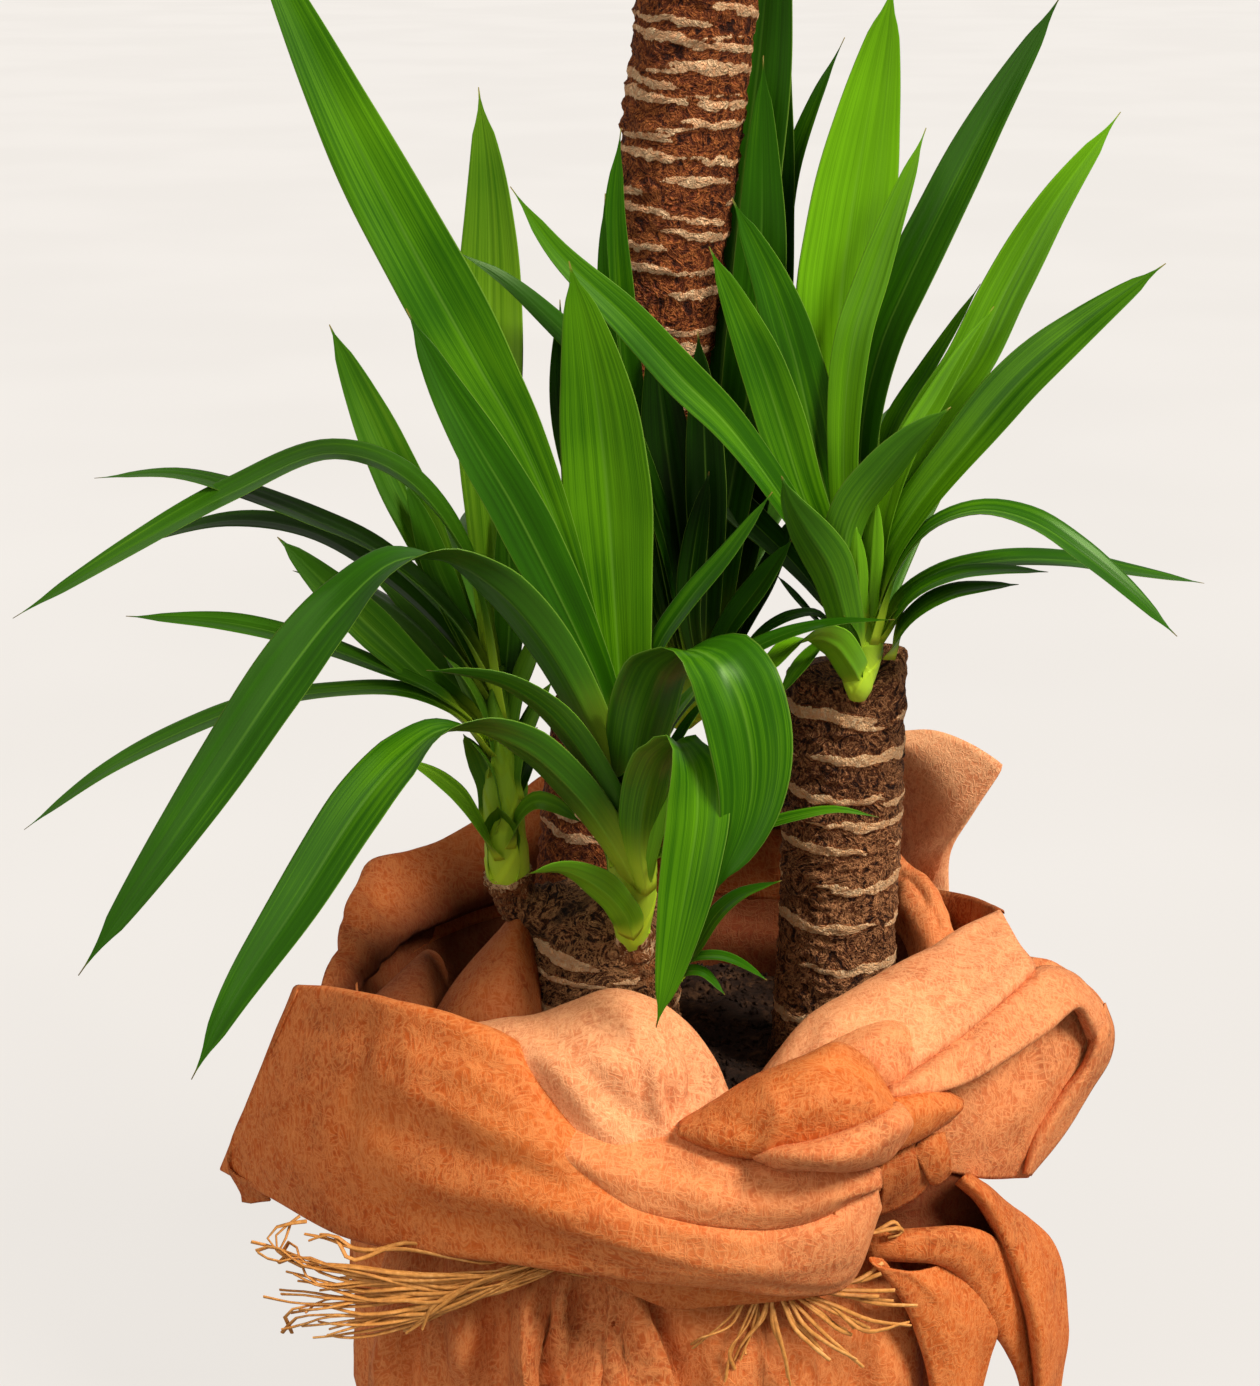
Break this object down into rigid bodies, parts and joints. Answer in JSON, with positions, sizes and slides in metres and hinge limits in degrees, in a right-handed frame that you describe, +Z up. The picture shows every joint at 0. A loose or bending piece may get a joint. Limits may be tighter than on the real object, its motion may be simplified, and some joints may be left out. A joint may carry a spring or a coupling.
{
  "type": "potted yucca",
  "caption": "Potted yucca with bark-ringed canes and arching sword-shaped leaves, the pot in a gathered orange-brown fibre wrap tied with raffia.",
  "frame": {"origin": "centre of the pot's flat base under the wrap, on the floor", "axes": "+Z up; -Y towards the viewer of the picture, the side with the knotted wrap; +X to that viewer's right"},
  "size_m": [0.5056, 0.387, 1.1046],
  "materials": {
    "fibre_wrap": "matte non-woven fibre",
    "raffia_tie": "dry palm fibre",
    "nursery_pot": "matte",
    "potting_soil": "crumbly, dark",
    "tall_cane": "fibrous bark with pale ring scars",
    "medium_cane": "fibrous bark with pale ring scars",
    "short_cane": "fibrous bark with pale scars",
    "left_shoot": "soft leaf gloss",
    "front_shoot": "soft leaf gloss",
    "right_shoot": "soft leaf gloss",
    "middle_shoot": "soft leaf gloss",
    "tiny_shoot": "soft leaf gloss",
    "top_shoot": "soft leaf gloss"
  },
  "bodies": {
    "root": {"fibre_wrap": "fibre_wrap", "raffia_tie": "raffia_tie", "nursery_pot": "nursery_pot", "potting_soil": "potting_soil", "tall_cane": "tall_cane", "medium_cane": "medium_cane", "short_cane": "short_cane", "left_shoot": "left_shoot", "front_shoot": "front_shoot", "right_shoot": "right_shoot", "middle_shoot": "middle_shoot", "tiny_shoot": "tiny_shoot", "top_shoot": "top_shoot"}
  },
  "joints": []
}
